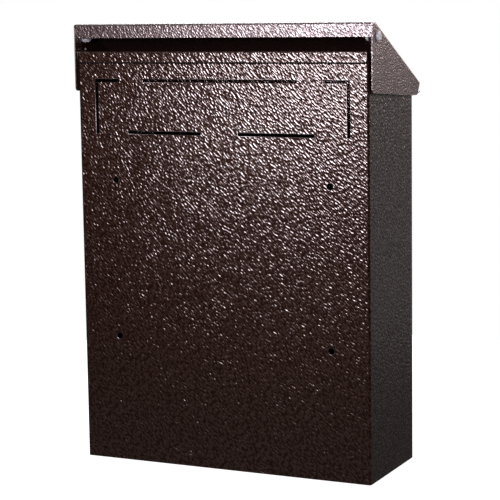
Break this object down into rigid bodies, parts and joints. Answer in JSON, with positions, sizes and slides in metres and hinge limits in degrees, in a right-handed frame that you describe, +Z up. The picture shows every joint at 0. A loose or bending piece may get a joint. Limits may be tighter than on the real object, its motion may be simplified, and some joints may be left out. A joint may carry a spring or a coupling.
{
  "type": "wall mounted post box",
  "caption": "Wall mounted post box of folded sheet steel in hammered brown enamel, with a sloping hinged lid, a locking front door and a slotted knock-out window in its back.",
  "frame": {"origin": "bottom centre of the closed box, midway between the hem on its back and the tip of the lid's finger lip", "axes": "+Z up, -Y out of the front with the door, +Y towards the wall, +X to the right seen from the front"},
  "size_m": [0.3342, 0.1374, 0.4519],
  "materials": {
    "hammered_enamel": "hammered",
    "zinc_steel": "zinc plated",
    "lock_chrome": "polished"
  },
  "bodies": {
    "casing": {"casing_wrap": "hammered_enamel", "base_pan": "hammered_enamel", "front_head": "hammered_enamel", "pivot_screw_left": "zinc_steel", "pivot_spacer_left": "zinc_steel", "pivot_washer_left": "zinc_steel", "pivot_nut_left": "zinc_steel", "pivot_screw_right": "zinc_steel", "pivot_spacer_right": "zinc_steel", "pivot_washer_right": "zinc_steel", "pivot_nut_right": "zinc_steel"},
    "lid": {"lid_cover": "hammered_enamel"},
    "door": {"front_door": "hammered_enamel", "door_pin_upper": "zinc_steel", "door_pin_lower": "zinc_steel", "lock_barrel": "lock_chrome", "lock_nut": "zinc_steel"},
    "lock": {"lock_plug": "lock_chrome", "lock_cam": "zinc_steel", "cam_screw": "zinc_steel"}
  },
  "joints": [
    {"name": "lid_hinge", "type": "hinge", "parent": "casing", "child": "lid", "pos_m": [0, 0.05365, 0.4385], "axis": [-1, 0, 0], "range_deg": [0, 95]},
    {"name": "door_hinge", "type": "hinge", "parent": "casing", "child": "door", "pos_m": [-0.1385, -0.04895, 0.16575], "axis": [0, 0, -1], "range_deg": [0, 100]},
    {"name": "lock_turn", "type": "hinge", "parent": "door", "child": "lock", "pos_m": [0.1195, -0.05385, 0.16575], "axis": [0, -1, 0], "range_deg": [0, 90]}
  ]
}
